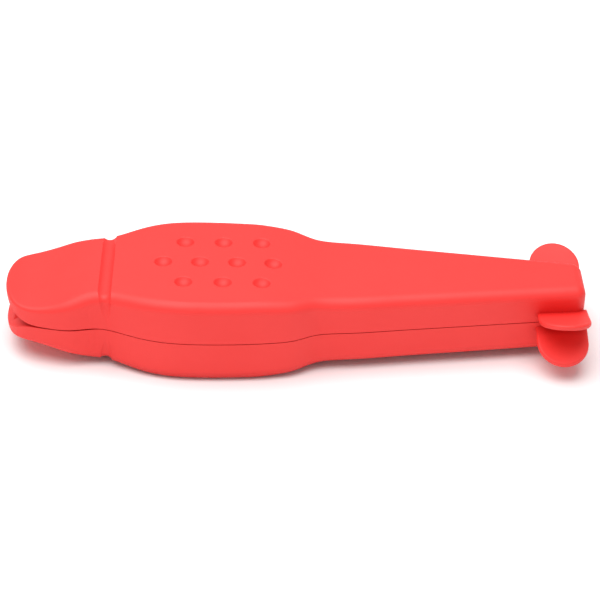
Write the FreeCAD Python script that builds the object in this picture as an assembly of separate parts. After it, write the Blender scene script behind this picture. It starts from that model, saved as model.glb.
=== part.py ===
"""Hand guiro made of two hollow shells that snap together like a beak.

The lower and upper shells are the same moulding apart from the hinge and the scraping field.
They meet on a flat seam, are hinged on a steel pin inside the tail, and a torsion spring keeps
the mouth shut.  Squeezing the four tail tabs together opens the mouth.

Frame: X runs from the snout (-X) to the tail (+X), Z is up, and the origin is on the surface
the guiro rests on, under the middle of its length.  Millimetres throughout.
"""
import FreeCAD, Part
import math
import os

V = FreeCAD.Vector

# ---- overall ----
LENGTH = 220.0            # snout to the back of the tabs
HALF_HEIGHT = 16.74        # seam plane to the flat of the body
BODY_HALF_WIDTH = 31.1    # widest point of the body
HANDLE_START_HEIGHT = 13.8    # half height where the handle starts
HANDLE_END_HEIGHT = 13.0
WALL = 2.2
SEAM_GAP = 0.3            # between the two shells all round the seam
EDGE_RADIUS = 4.0         # rounding of the outer top edge
LIP_EDGE_RADIUS = 1.1     # the same round the lip of the snout
INNER_EDGE_RADIUS = 0.6
LIP_TO = 5.0              # the lip's radius holds up to here and grows up to the next
LIP_BLEND_TO = 32.0

# ---- plan outline, distance behind the snout and half width ----
SNOUT = [(0.15, 4.0), (0.9, 8.5), (2.1, 12.5), (4.0, 15.9), (7.0, 18.5), (11.0, 20.4),
         (18.0, 22.3), (26.0, 23.1)]
NECK = [(36.0, 21.7), (43.0, 23.8)]
BODY_FRONT = [(50.0, 27.0), (60.0, 30.0)]
BODY_WIDEST = 76.0
BODY_REAR = [(92.0, 30.4), (103.0, 29.1), (109.0, 27.6), (113.0, 25.6), (117.0, 23.7), (122.0, 22.75)]
HANDLE_START = 130.0
HANDLE_START_HALF_WIDTH = 22.1
HANDLE_END_HALF_WIDTH = 10.4
HANDLE_END_INSET = 1.0    # the tabs reach this much further back than the handle
HANDLE_CORNER_RADIUS = 4.2

# ---- side profile of the outer face, distance behind the snout and height over the seam ----
HEAD_TOP = [(-4.0, 10.4), (0.0, 8.9), (4.0, 7.9), (9.0, 7.4), (15.0, 8.3), (20.5, 10.0), (26.0, 12.2)]
HEAD_CREST = [(31.0, 13.9), (35.5, 14.7), (41.0, 15.15)]
BODY_RISE = [(48.0, 15.85), (56.0, 16.5)]
FLAT_FROM = 66.0
FLAT_TO = 94.0
FLAT_SHAVE = 0.06         # the flat is cut this deep, so that it is a true plane
SEAM_HEIGHT = HALF_HEIGHT - FLAT_SHAVE
BODY_FALL = [(102.0, 16.2), (110.0, 15.35), (116.0, 14.55), (122.0, 14.0)]

# ---- neck groove ----
GROOVE_AT = 38.0
GROOVE_RADIUS = 3.0
GROOVE_DEPTH = 1.4
GROOVE_FLARE = 2.2        # how far the groove runs out of the side wall by the seam

# ---- mouth, distance behind the snout and half gap ----
MOUTH = [(-3.0, 9.0), (0.0, 6.8), (2.5, 4.6), (5.0, 2.7), (7.5, 1.3), (10.0, 0.6), (14.0, 0.3), (20.0, 0.19)]
MOUTH_END = 36.0

# ---- throat, the shallow hollow that joins the mouth to the body through each solid jaw ----
JAW_TO = 34.0             # the jaws are solid up to here
THROAT_FROM = 2.9
THROAT_HALF_WIDTH = 10.3
THROAT_HEIGHT = 4.1       # from the seam

# ---- dimples ----
DIMPLE_DIAMETER = 6.9
DIMPLE_DEPTH = 1.9
DIMPLE_LIP_RADIUS = 0.4
DIMPLE_FLOOR = 1.6        # plastic under a dimple
DIMPLE_ROW_SPACING = 13.9
SIDE_ROW = [67.2, 81.85, 96.5]
MIDDLE_ROW = [59.2, 73.1, 87.1, 101.0]

# ---- scraping field under the lower shell ----
RIDGE_FROM = 56.0
RIDGE_TO = 101.0
RIDGE_PITCH = 3.0
RIDGE_LENGTH = 34.0
RIDGE_DEPTH = 0.9
RIDGE_CUT_RADIUS = 1.1

# ---- tail tabs ----
TAB_WIDTH = 19.4
TAB_REACH = 29.4          # tip of a tab from the middle plane
TAB_TIP_HEIGHT = 8.9      # middle of the tip over the seam
TAB_THICKNESS = 2.0
TAB_SAG = 0.9             # how far the tab bows below a straight line from root to tip
TAB_ROOT_HEIGHT = 2.3     # middle of the root over the seam
TAB_EDGE_RADIUS = 0.7

# ---- hinge ----
HINGE_SETBACK = 16.0      # hinge line ahead of the back of the tabs
OPEN_ANGLE = 10.0         # degrees the mouth opens
PIN_DIAMETER = 3.0
PIN_END_CLEARANCE = 0.5   # pin end to the inside of the side wall
PIN_FIT = 0.04            # radial clearance of the pin in the upper ears
EAR_RADIUS = 3.6
EAR_THICKNESS = 2.2
EAR_CLEARANCE = 0.4       # between a lower ear and the upper ear beside it
EAR_WALL_CLEARANCE = 0.5  # lower ear to the side wall of the upper shell
SNAP_MOUTH = 2.5          # width of the snap opening under each upper ear
PIN_CHAMFER = 0.3

# ---- torsion spring ----
LEG_ANGLE = 50.0          # degrees from the seam plane to each leg
WIRE_DIAMETER = 1.0
COIL_CLEARANCE = 0.5      # coil to pin
COIL_TURNS = 4
COIL_PITCH = 1.15
LEG_CLEARANCE = 0.05
SLEEVE_SPARE = 0.05       # the sleeve for the close turns is this much thicker than they are


def at(u, y, z):
    """Point from its distance behind the snout."""
    return V(u - LENGTH / 2, y, z)


def spline(points):
    """Smooth curve through the points."""
    curve = Part.BSplineCurve()
    curve.interpolate(Points=points)
    return curve


def between(start, end, count):
    """Evenly spaced points strictly between two points."""
    return [start + (end - start) * (i / (count + 1)) for i in range(1, count + 1)]


def parameter_at(curve, u, behind, ahead):
    """Where a curve passes a distance behind the snout, between two of its parameters."""
    for _ in range(40):
        middle = (behind + ahead) / 2
        if curve.value(middle).x > u - LENGTH / 2:
            behind = middle
        else:
            ahead = middle
    return behind


def across(p):
    """The same point on the other side of the middle plane."""
    return V(p.x, -p.y, p.z)


def side_points():
    """Outline points of one side behind the snout's tip."""
    sides = SNOUT + NECK + BODY_FRONT + [(BODY_WIDEST, BODY_HALF_WIDTH)] + BODY_REAR
    points = [at(u, w, 0) for u, w in sides]
    start = at(HANDLE_START, HANDLE_START_HALF_WIDTH, 0)
    end = at(LENGTH - HANDLE_END_INSET, HANDLE_END_HALF_WIDTH, 0)
    return points + [start] + between(start, end, 4) + [end]


def outline_runs(curve):
    """The outline as edges that end where the lip's edge radius starts and stops growing."""
    cuts = [curve.FirstParameter]
    for u in (LIP_BLEND_TO, LIP_TO):
        cuts.append(parameter_at(curve, u, curve.FirstParameter, curve.parameter(at(0, 0, 0))))
    for u in (LIP_TO, LIP_BLEND_TO):
        cuts.append(parameter_at(curve, u, curve.LastParameter, curve.parameter(at(0, 0, 0))))
    cuts.append(curve.LastParameter)
    return [curve.toShape(a, b) for a, b in zip(cuts, cuts[1:])]


def plan_block(inset, height):
    """Upright block with the outline of the body, set in from the outer face."""
    far = side_points()
    outline = [across(p) for p in reversed(far)] + [at(0, 0, 0)] + far
    curve = spline(outline)
    if inset:
        moved = []
        for p in outline:
            t = curve.tangent(curve.parameter(p))[0]
            moved.append(p + V(t.y, -t.x, 0) * inset)
        moved[0] = moved[0] - V(inset, 0, 0)
        moved[-1] = moved[-1] - V(inset, 0, 0)
        outline = moved
        curve = spline(outline)
    edges = outline_runs(curve) + [Part.makeLine(outline[-1], outline[0])]
    block = Part.Face(Part.Wire(edges)).extrude(V(0, 0, height))
    corners = [e for e in block.Edges if e.BoundBox.XMin > 0 and e.BoundBox.XLength < 0.1
               and e.BoundBox.YLength < 0.1]
    return block.makeFillet(HANDLE_CORNER_RADIUS, corners)


def top_slab(inset):
    """Slab under the top line of the body, wider than the body."""
    heights = HEAD_TOP + HEAD_CREST + BODY_RISE
    points = [at(u, 0, h) for u, h in heights]
    flat = [at(FLAT_FROM, 0, HALF_HEIGHT), at(FLAT_TO, 0, HALF_HEIGHT)]
    points += [flat[0]] + between(flat[0], flat[1], 4) + [flat[1]]
    points += [at(u, 0, h) for u, h in BODY_FALL]
    start = at(HANDLE_START, 0, HANDLE_START_HEIGHT)
    end = at(LENGTH + 2, 0, HANDLE_END_HEIGHT)
    points += [start] + between(start, end, 4) + [end]
    points = [p - V(0, 0, inset) for p in points]
    lead = points[0]
    tail = points[-1]
    edges = [spline(points).toShape(),
             Part.makeLine(tail, V(tail.x, 0, 0)),
             Part.makeLine(V(tail.x, 0, 0), V(lead.x, 0, 0)),
             Part.makeLine(V(lead.x, 0, 0), lead)]
    side = Part.Face(Part.Wire(edges))
    side.translate(V(0, -LENGTH / 2, 0))
    return side.extrude(V(0, LENGTH, 0))


def edge_radius(x):
    """Rounding of the outer edge at this X."""
    share = (x + LENGTH / 2 - LIP_TO) / (LIP_BLEND_TO - LIP_TO)
    return LIP_EDGE_RADIUS + (EDGE_RADIUS - LIP_EDGE_RADIUS) * min(max(share, 0), 1)


def body(inset):
    """Half of the body as a solid over the seam plane, its faces set in from the outer ones."""
    solid = plan_block(inset, 2 * HALF_HEIGHT).common(top_slab(inset)).Solids[0]
    rim = []
    for i, edge in enumerate(solid.Edges):
        upright = abs(edge.tangentAt(edge.FirstParameter).z) > 0.9
        if edge.CenterOfMass.z > HALF_HEIGHT / 3 and not upright:
            radii = [INNER_EDGE_RADIUS if inset else edge_radius(v.X) for v in edge.Vertexes]
            rim.append((i + 1, radii[0], radii[-1]))
    document = FreeCAD.newDocument()
    rounded = document.addObject("Part::Fillet")
    rounded.Base = document.addObject("Part::Feature")
    rounded.Base.Shape = solid
    rounded.Edges = rim
    document.recompute()
    return rounded.Shape.Solids[0]


def top_line():
    """The outer side profile's top line as a curve."""
    slab = top_slab(0)
    lines = [e for e in slab.Edges if e.Curve.TypeId == "Part::GeomBSplineCurve"]
    return lines[0].Curve


def top_height(curve, u):
    """Height of the top line over the seam at a distance behind the snout."""
    return curve.value(parameter_at(curve, u, curve.LastParameter, curve.FirstParameter)).z


def rounded_path(corners, radius):
    """Open wire of straight runs joined by tangent arcs."""
    edges = []
    start = corners[0]
    for before, corner, after in zip(corners, corners[1:], corners[2:]):
        a = (before - corner).normalize()
        b = (after - corner).normalize()
        half = a.getAngle(b) / 2
        reach = radius / math.tan(half)
        bisector = (a + b).normalize()
        middle = corner + bisector * (radius / math.sin(half) - radius)
        first, last = corner + a * reach, corner + b * reach
        edges.append(Part.makeLine(start, first))
        edges.append(Part.Arc(first, middle, last).toShape())
        start = last
    edges.append(Part.makeLine(start, corners[-1]))
    return Part.Wire(edges)


def neck_groove(outer):
    """Ring that cuts the neck groove; it fades out of the side walls towards the seam."""
    box = outer.slice(V(1, 0, 0), GROOVE_AT - LENGTH / 2)[0].BoundBox
    out = GROOVE_RADIUS - GROOVE_DEPTH
    wide, high = box.YMax + out, box.ZMax + out
    foot = wide + GROOVE_FLARE
    corners = [at(GROOVE_AT, -foot, -2), at(GROOVE_AT, -wide, high),
               at(GROOVE_AT, wide, high), at(GROOVE_AT, foot, -2)]
    path = rounded_path(corners, EDGE_RADIUS + out)
    circle = Part.Wire([Part.makeCircle(GROOVE_RADIUS, corners[0], V(0, 0, 1))])
    return path.makePipeShell([circle], True, True)


def dish(u, y, height):
    """Ball that cuts a shallow dimple into a face at this height."""
    a = DIMPLE_DIAMETER / 2
    radius = (a * a + DIMPLE_DEPTH ** 2) / (2 * DIMPLE_DEPTH)
    return Part.makeSphere(radius, at(u, y, height + radius - DIMPLE_DEPTH))


def dimple_places():
    places = [(u, 0) for u in MIDDLE_ROW]
    for side in (-1, 1):
        places += [(u, side * DIMPLE_ROW_SPACING) for u in SIDE_ROW]
    return places


def dimpled(solid, curve):
    """Cuts the dimples and rounds their lips."""
    places = dimple_places()
    for u, y in places:
        floor = top_height(curve, u) - DIMPLE_DEPTH - DIMPLE_FLOOR
        boss = Part.makeCylinder(DIMPLE_DIAMETER / 2, DIMPLE_DEPTH, at(u, y, floor))
        solid = solid.fuse(boss)
    for u, y in places:
        solid = solid.cut(dish(u, y, top_height(curve, u)))
    lips = []
    for edge in solid.Edges:
        c = edge.CenterOfMass
        near = [1 for u, y in places if (c - at(u, y, c.z)).Length < DIMPLE_DIAMETER / 2]
        if near and edge.Length > DIMPLE_DIAMETER:
            lips.append(edge)
    return solid.makeFillet(DIMPLE_LIP_RADIUS, lips)


def ridged(solid, curve):
    """Cuts the scraping grooves."""
    reach = RIDGE_LENGTH / 2 - RIDGE_CUT_RADIUS
    count = int((RIDGE_TO - RIDGE_FROM) / RIDGE_PITCH) + 1
    for i in range(count):
        u = RIDGE_FROM + i * RIDGE_PITCH
        z = top_height(curve, u) + RIDGE_CUT_RADIUS - RIDGE_DEPTH
        bar = Part.makeCylinder(RIDGE_CUT_RADIUS, 2 * reach, at(u, -reach, z), V(0, 1, 0))
        for end in (-reach, reach):
            bar = bar.fuse(Part.makeSphere(RIDGE_CUT_RADIUS, at(u, end, z)))
        solid = solid.cut(bar)
    return solid


def tail_tab(side):
    """One tail tab as a bowed plate with a round end."""
    root = V(0, HANDLE_END_HALF_WIDTH - 1.5, TAB_ROOT_HEIGHT)
    tip = V(0, TAB_REACH, TAB_TIP_HEIGHT)
    bow = V(0, 0, -TAB_SAG)
    lift = V(0, -0.3, 1).normalize() * (TAB_THICKNESS / 2)
    reach = (tip - root) * 0.1
    middle = (root + tip) / 2 + bow
    under = Part.Arc(root - lift, middle - lift, tip + reach - lift).toShape()
    over = Part.Arc(root + lift, middle + lift, tip + reach + lift).toShape()
    edges = [under, Part.makeLine(tip + reach - lift, tip + reach + lift), over,
             Part.makeLine(root + lift, root - lift)]
    strip = Part.Face(Part.Wire(Part.__sortEdges__(edges)))
    strip.translate(at(LENGTH - TAB_WIDTH, 0, 0))
    strip = strip.extrude(V(TAB_WIDTH, 0, 0))
    radius = TAB_WIDTH / 2
    centre = TAB_REACH - radius
    plan = Part.makeBox(TAB_WIDTH, centre, 2 * HALF_HEIGHT, at(LENGTH - TAB_WIDTH, 0, -1))
    plan = plan.fuse(Part.makeCylinder(radius, 2 * HALF_HEIGHT, at(LENGTH - radius, centre, -1)))
    plan = plan.removeSplitter()
    tab = strip.common(plan).Solids[0]
    rim = [e for e in tab.Edges if e.CenterOfMass.y > HANDLE_END_HALF_WIDTH
           and abs(e.tangentAt(e.FirstParameter).z) < 0.8]
    tab = tab.makeFillet(TAB_EDGE_RADIUS, rim)
    if side < 0:
        tab = tab.mirror(V(0, 0, 0), V(0, 1, 0))
    return tab


def parting_tool():
    """Everything below the mouth edge, the seam and the relief behind the hinge."""
    half_gap = SEAM_GAP / 2
    mouth = [at(u, 0, z) for u, z in MOUTH] + [at(MOUTH_END, 0, half_gap)]
    hinge = at(LENGTH - HINGE_SETBACK, 0, half_gap)
    behind = HINGE_SETBACK + 5
    rise = behind * math.tan(math.radians(OPEN_ANGLE / 2))
    tail = hinge + V(behind, 0, rise)
    low_tail = V(tail.x, 0, -HALF_HEIGHT)
    low_front = V(mouth[0].x, 0, -HALF_HEIGHT)
    edges = [spline(mouth).toShape(), Part.makeLine(mouth[-1], hinge), Part.makeLine(hinge, tail),
             Part.makeLine(tail, low_tail), Part.makeLine(low_tail, low_front),
             Part.makeLine(low_front, mouth[0])]
    face = Part.Face(Part.Wire(edges))
    face.translate(V(0, -LENGTH / 2, 0))
    return face.extrude(V(0, LENGTH, 0))


def hollow():
    """The inside of a shell."""
    inside = body(WALL).cut(Part.makeBox(JAW_TO, LENGTH, LENGTH, at(0, -LENGTH / 2, -1)))
    throat = Part.makeBox(JAW_TO + WALL, 2 * THROAT_HALF_WIDTH, THROAT_HEIGHT,
                          at(THROAT_FROM, -THROAT_HALF_WIDTH, 0))
    return inside.fuse(throat)


def shell():
    """One half shell with its seam on z = 0, hollow underneath, with its two tabs."""
    solid = body(0)
    solid = solid.cut(neck_groove(solid))
    for side in (-1, 1):
        solid = solid.fuse(tail_tab(side))
    solid = solid.cut(hollow()).cut(parting_tool())
    return solid.cut(Part.makeBox(LENGTH, LENGTH, WALL, at(0, -LENGTH / 2, SEAM_HEIGHT)))


def inner_half_width():
    """Half width of the hollow at the hinge line."""
    start, end = HANDLE_START, LENGTH - HANDLE_END_INSET
    share = (LENGTH - HINGE_SETBACK + EAR_RADIUS - start) / (end - start)
    drop = (HANDLE_START_HALF_WIDTH - HANDLE_END_HALF_WIDTH) * share
    return HANDLE_START_HALF_WIDTH - drop - WALL * 1.01


def ear(inner_face, reach):
    """Ear on the far side, round about the hinge line, its foot sunk into the shell's roof."""
    hinge = at(LENGTH - HINGE_SETBACK, inner_face, 0)
    disc = Part.makeCylinder(EAR_RADIUS, EAR_THICKNESS, hinge, V(0, 1, 0))
    web = Part.makeBox(2 * EAR_RADIUS, EAR_THICKNESS, reach, hinge - V(EAR_RADIUS, 0, 0))
    return disc.fuse(web)


def with_ears(solid, inner_face, bore_radius, snap):
    """Adds a pair of ears with their bores; snap opens each bore so that it clips on the pin."""
    reach = HANDLE_END_HEIGHT - WALL / 2
    for side in (-1, 1):
        piece = ear(inner_face, reach)
        if side < 0:
            piece = piece.mirror(V(0, 0, 0), V(0, 1, 0))
        solid = solid.fuse(piece)
    bore = Part.makeCylinder(bore_radius, LENGTH, at(LENGTH - HINGE_SETBACK, -LENGTH / 2, 0), V(0, 1, 0))
    width = 2 * (inner_face + EAR_THICKNESS) + EAR_CLEARANCE
    bore = bore.common(Part.makeBox(LENGTH, width, LENGTH, at(0, -width / 2, -LENGTH / 2)))
    solid = solid.cut(bore)
    if snap:
        slot = Part.makeBox(SNAP_MOUTH, width, EAR_RADIUS + 1,
                            at(LENGTH - HINGE_SETBACK - SNAP_MOUTH / 2, -width / 2, -EAR_RADIUS - 1))
        solid = solid.cut(slot)
    return solid


def pin():
    """Steel hinge pin lying across the tail."""
    half = inner_half_width() - PIN_END_CLEARANCE
    rod = Part.makeCylinder(PIN_DIAMETER / 2, 2 * half, at(LENGTH - HINGE_SETBACK, -half, 0), V(0, 1, 0))
    return rod.makeChamfer(PIN_CHAMFER, [e for e in rod.Edges if e.Closed])


def spring():
    """Torsion spring round the pin, its close turns as one sleeve, one leg against each roof."""
    wire = WIRE_DIAMETER / 2
    coil = PIN_DIAMETER / 2 + COIL_CLEARANCE + wire
    lean = math.radians(LEG_ANGLE)
    half = COIL_PITCH * COIL_TURNS / 2
    leg = (HANDLE_END_HEIGHT - WALL - wire - LEG_CLEARANCE - coil * math.cos(lean)) / math.sin(lean)
    end = half + wire + SLEEVE_SPARE
    sleeve = Part.makeCylinder(coil + wire + SLEEVE_SPARE, 2 * end, V(0, -end, 0), V(0, 1, 0))
    bore = Part.makeCylinder(coil - wire - SLEEVE_SPARE, 2 * end, V(0, -end, 0), V(0, 1, 0))
    solid = sleeve
    for side in (-1, 1):
        start = V(-coil * math.sin(lean), side * half, side * coil * math.cos(lean))
        along = V(math.cos(lean), 0, side * math.sin(lean))
        solid = solid.fuse(Part.makeCylinder(wire, leg, start, along))
    solid = solid.cut(bore)
    solid.translate(at(LENGTH - HINGE_SETBACK, 0, 0))
    return one_solid(solid)


def placed(solid):
    """Moves a piece made about the seam plane to its height over the ground."""
    solid = solid.copy()
    solid.translate(V(0, 0, SEAM_HEIGHT))
    return solid


def one_solid(shape):
    """The single solid of a boolean's result."""
    return shape.removeSplitter().Solids[0]


def main():
    os.makedirs("parts", exist_ok=True)
    line = top_line()
    half = shell()
    outer_ear = inner_half_width() - EAR_WALL_CLEARANCE - EAR_THICKNESS
    inner_ear = outer_ear - EAR_CLEARANCE - EAR_THICKNESS
    pin_radius = PIN_DIAMETER / 2
    upper = with_ears(half, inner_ear, pin_radius + PIN_FIT, True)
    lower = with_ears(half, outer_ear, pin_radius, False)
    nodes = {
        "upper_shell": dimpled(one_solid(upper), line),
        "lower_shell": ridged(one_solid(lower), line).mirror(V(0, 0, 0), V(0, 0, 1)),
        "hinge_pin": pin(),
        "torsion_spring": spring(),
    }
    for name, solid in nodes.items():
        solid = placed(solid)
        solid.exportStep("parts/" + name + ".step")
        print(name, solid.isValid(), len(solid.Solids), round(solid.Volume), solid.optimalBoundingBox())


main()
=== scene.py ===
import bpy
import math
from mathutils import Matrix, Vector


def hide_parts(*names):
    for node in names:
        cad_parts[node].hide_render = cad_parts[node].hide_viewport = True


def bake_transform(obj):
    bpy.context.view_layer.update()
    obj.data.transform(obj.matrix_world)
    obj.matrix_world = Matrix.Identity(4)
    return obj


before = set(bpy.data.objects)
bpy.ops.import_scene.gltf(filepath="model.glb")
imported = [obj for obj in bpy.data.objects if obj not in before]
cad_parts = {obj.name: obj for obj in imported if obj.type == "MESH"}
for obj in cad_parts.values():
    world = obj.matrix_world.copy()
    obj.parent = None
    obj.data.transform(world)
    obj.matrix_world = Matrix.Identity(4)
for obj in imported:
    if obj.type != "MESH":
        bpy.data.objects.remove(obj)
bpy.context.view_layer.update()


class Sock:
    # wraps an output socket, so that shader maths reads as sums
    def __init__(self, mat, out):
        self.mat = mat
        self.out = out

    def math(self, operation, *values):
        return self.mat.node("ShaderNodeMath", {"operation": operation}, dict(enumerate((self,) + values)))

    def __add__(self, other):
        return self.math("ADD", other)

    def __mul__(self, other):
        return self.math("MULTIPLY", other)

    __radd__ = __add__
    __rmul__ = __mul__


class Finish:
    # one material, with one method for every kind of node
    def __init__(self, name, **constants):
        self.material = bpy.data.materials.new(name)
        self.material.use_nodes = True
        self.tree = self.material.node_tree
        self.shader = self.tree.nodes["Principled BSDF"]
        for socket, value in constants.items():
            self.shader.inputs[socket.replace("_", " ")].default_value = value

    def node(self, kind, settings=None, inputs=None, output=0):
        made = self.tree.nodes.new(kind)
        for key, value in (settings or {}).items():
            setattr(made, key, value)
        for key, value in (inputs or {}).items():
            if isinstance(value, Sock):
                self.tree.links.new(value.out, made.inputs[key])
            else:
                made.inputs[key].default_value = value
        return Sock(self, made.outputs[output])

    def feed(self, socket, value):
        self.tree.links.new(value.out, self.shader.inputs[socket])

    def place(self):
        return self.node("ShaderNodeTexCoord", output="Object")

    def noise(self, vector, scale, detail=2.0):
        values = {"Vector": vector, "Scale": scale, "Detail": detail, "Roughness": 0.5}
        return self.node("ShaderNodeTexNoise", {}, values, "Fac")


redLook = {
    "base": (0.88, 0.035, 0.030, 1),
    "deep": (0.85, 0.031, 0.026, 1),
    # painted shade: a darker red laid into dimples, grooves, tab roots and gaps between parts, plus the reach of
    # that painted shade
    "hollow": (0.66, 0.010, 0.008, 1),
    "hollowReach": 0.006,
    "grainScale": 2200,
    "mottleScale": 55,
    "bump": 0.06,
    "bumpHeight": 0.00004,
}


def redPlastic():
    finish = Finish("satinRedPlastic", IOR=1.49)
    here = finish.place()
    mottle = finish.noise(here, redLook["mottleScale"], 3)
    grain = finish.noise(here, redLook["grainScale"], 2)
    colour = finish.node("ShaderNodeMix", {"data_type": "RGBA"},
                         {"Factor": mottle, "A": redLook["base"], "B": redLook["deep"]}, "Result")
    # painted shade: ambient occlusion within a few millimetres mixes the base colour toward the darker red in
    # hollows and crevices
    clear = finish.node("ShaderNodeAmbientOcclusion", {"samples": 8}, {"Distance": redLook["hollowReach"]}, "AO")
    shade = finish.node("ShaderNodeMapRange", {}, {"Value": clear, "From Min": 0.4, "From Max": 0.98}, "Result")
    colour = finish.node("ShaderNodeMix", {"data_type": "RGBA"},
                         {"Factor": shade, "A": redLook["hollow"], "B": colour}, "Result")
    finish.feed("Base Color", colour)
    finish.feed("Roughness", 0.46 + mottle * 0.1 + grain * 0.08)
    bump = finish.node("ShaderNodeBump", {}, {"Strength": redLook["bump"],
                       "Distance": redLook["bumpHeight"], "Height": grain + mottle * 2})
    finish.feed("Normal", bump)
    return finish.material


steelLook = {
    "dark": (0.55, 0.55, 0.57, 1),
    "light": (0.70, 0.70, 0.72, 1),
    "streakScale": 900,
}


def steel():
    finish = Finish("springSteel", Metallic=1.0)
    here = finish.place()
    streaks = finish.noise(here, steelLook["streakScale"], 3)
    colour = finish.node("ShaderNodeMix", {"data_type": "RGBA"},
                         {"Factor": streaks, "A": steelLook["dark"], "B": steelLook["light"]}, "Result")
    finish.feed("Base Color", colour)
    finish.feed("Roughness", 0.22 + streaks * 0.2)
    return finish.material


red = redPlastic()
grey = steel()
for name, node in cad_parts.items():
    node.data.materials.clear()
    node.data.materials.append(red if "shell" in name else grey)
print("finishes on", len(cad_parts), "CAD pieces")


# the spring is hidden in the tail; its turns sit round the hinge pin, one leg on each shell's roof
coil = {
    "hinge": Vector((0.094, 0, 0.01668)),
    "wire": 0.0005,
    "radius": 0.0025,
    "length": 0.0046,
    "startAngle": 220,
    "sweep": -1520,
    "steps": 140,
    "leg": 0.0112,
    "legAngle": 50,
    "legSides": 20,
}


def coilSpring():
    start = math.radians(coil["startAngle"])
    turn = Matrix.Rotation(-start, 3, "Y")
    bpy.ops.object.select_all(action="DESELECT")
    bpy.ops.mesh.primitive_circle_add(vertices=20, radius=coil["wire"], location=(0, 0, 0))
    spring = bpy.context.object
    spring.name = "torsionSpringCoil"
    bpy.ops.object.mode_set(mode="EDIT")
    bpy.ops.mesh.select_all(action="SELECT")
    bpy.ops.transform.translate(value=(coil["radius"], -coil["length"] / 2, 0))
    bpy.ops.object.mode_set(mode="OBJECT")
    spring.rotation_euler = turn.to_euler()
    bpy.ops.object.transform_apply(location=False, rotation=True, scale=False)
    screw = spring.modifiers.new("turns", "SCREW")
    screw.axis = "Y"
    screw.angle = math.radians(coil["sweep"])
    screw.screw_offset = coil["length"]
    screw.steps = coil["steps"]
    screw.render_steps = coil["steps"]
    bpy.ops.object.modifier_apply(modifier="turns")
    lean = math.radians(coil["legAngle"])
    legs = []
    for side in (-1, 1):
        foot = Vector((-coil["radius"] * math.sin(lean), side * coil["length"] / 2,
                       side * coil["radius"] * math.cos(lean)))
        along = Vector((math.cos(lean), 0, side * math.sin(lean)))
        bpy.ops.object.select_all(action="DESELECT")
        bpy.ops.mesh.primitive_cylinder_add(vertices=coil["legSides"], radius=coil["wire"],
                                            depth=coil["leg"], location=foot + along * coil["leg"] / 2,
                                            rotation=along.to_track_quat("Z", "Y").to_euler())
        legs.append(bpy.context.object)
    for leg in legs:
        leg.select_set(True)
    spring.select_set(True)
    bpy.context.view_layer.objects.active = spring
    bpy.ops.object.join()
    spring.location = coil["hinge"]
    bpy.ops.object.transform_apply(location=True, rotation=True, scale=True)
    bpy.ops.object.shade_smooth_by_angle(angle=math.radians(40))
    spring.data.materials.append(grey)
    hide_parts("torsion_spring")
    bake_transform(spring)
    xs = [v.co.x for v in spring.data.vertices]
    zs = [v.co.z for v in spring.data.vertices]
    print("spring modelled", round(min(xs), 5), round(max(xs), 5), round(min(zs), 5), round(max(zs), 5))


coilSpring()


# pale floor, soft light from all round
studio = {
    "floorSize": 6.0,
    "floorHeight": -0.0001,
    "floorColour": (0.93, 0.93, 0.93, 1),
    "skyStrength": 0.50,
    "keySize": 1.3,
    "keyPower": 13.2,
    "keyPlace": (-0.15, -0.04, 0.95),
}


def makeStudio():
    bpy.ops.mesh.primitive_plane_add(size=studio["floorSize"], location=(0, 0, studio["floorHeight"]))
    floor = bpy.context.object
    floor.name = "floor"
    pale = Finish("paleFloor", Roughness=0.85, Base_Color=studio["floorColour"])
    floor.data.materials.append(pale.material)
    world = bpy.data.worlds.new("softSky")
    bpy.context.scene.world = world
    world.use_nodes = True
    world.node_tree.nodes["Background"].inputs["Color"].default_value = (1, 1, 1, 1)
    world.node_tree.nodes["Background"].inputs["Strength"].default_value = studio["skyStrength"]
    light = bpy.data.lights.new("keyLight", "AREA")
    light.shape = "DISK"
    light.size = studio["keySize"]
    light.energy = studio["keyPower"]
    lamp = bpy.data.objects.new("keyLight", light)
    bpy.context.scene.collection.objects.link(lamp)
    lamp.location = studio["keyPlace"]
    aim = Vector((0, 0, 0.01)) - lamp.location
    lamp.rotation_euler = aim.to_track_quat("-Z", "Y").to_euler()


makeStudio()
print("studio lit")

camera = {
    "elevation": 33.5,
    "turn": -1.8,
    "roll": 1.85,
    "distance": 0.859,
    "lens": 135.0,
    "target": (0.0013, 0.0, 0.01668),
    "lower": 0.0,
}


def makeCamera():
    data = bpy.data.cameras.new("viewCamera")
    data.sensor_width = 36.0
    data.lens = camera["lens"]
    obj = bpy.data.objects.new("viewCamera", data)
    bpy.context.scene.collection.objects.link(obj)
    rise = math.radians(camera["elevation"])
    turn = math.radians(camera["turn"])
    back = Vector((math.sin(turn) * math.cos(rise), -math.cos(turn) * math.cos(rise), math.sin(rise)))
    look = (-back).to_track_quat("-Z", "Y").to_matrix()
    spin = Matrix.Rotation(math.radians(camera["roll"]), 3, back)
    turned = spin @ look
    target = Vector(camera["target"]) - turned.col[1] * camera["lower"]
    obj.matrix_world = Matrix.Translation(target + back * camera["distance"]) @ turned.to_4x4()
    data.clip_start = 0.05
    data.clip_end = 20
    bpy.context.scene.camera = obj


makeCamera()
print("camera placed")
bpy.context.scene.view_settings.view_transform = "Standard"
bpy.context.view_layer.update()
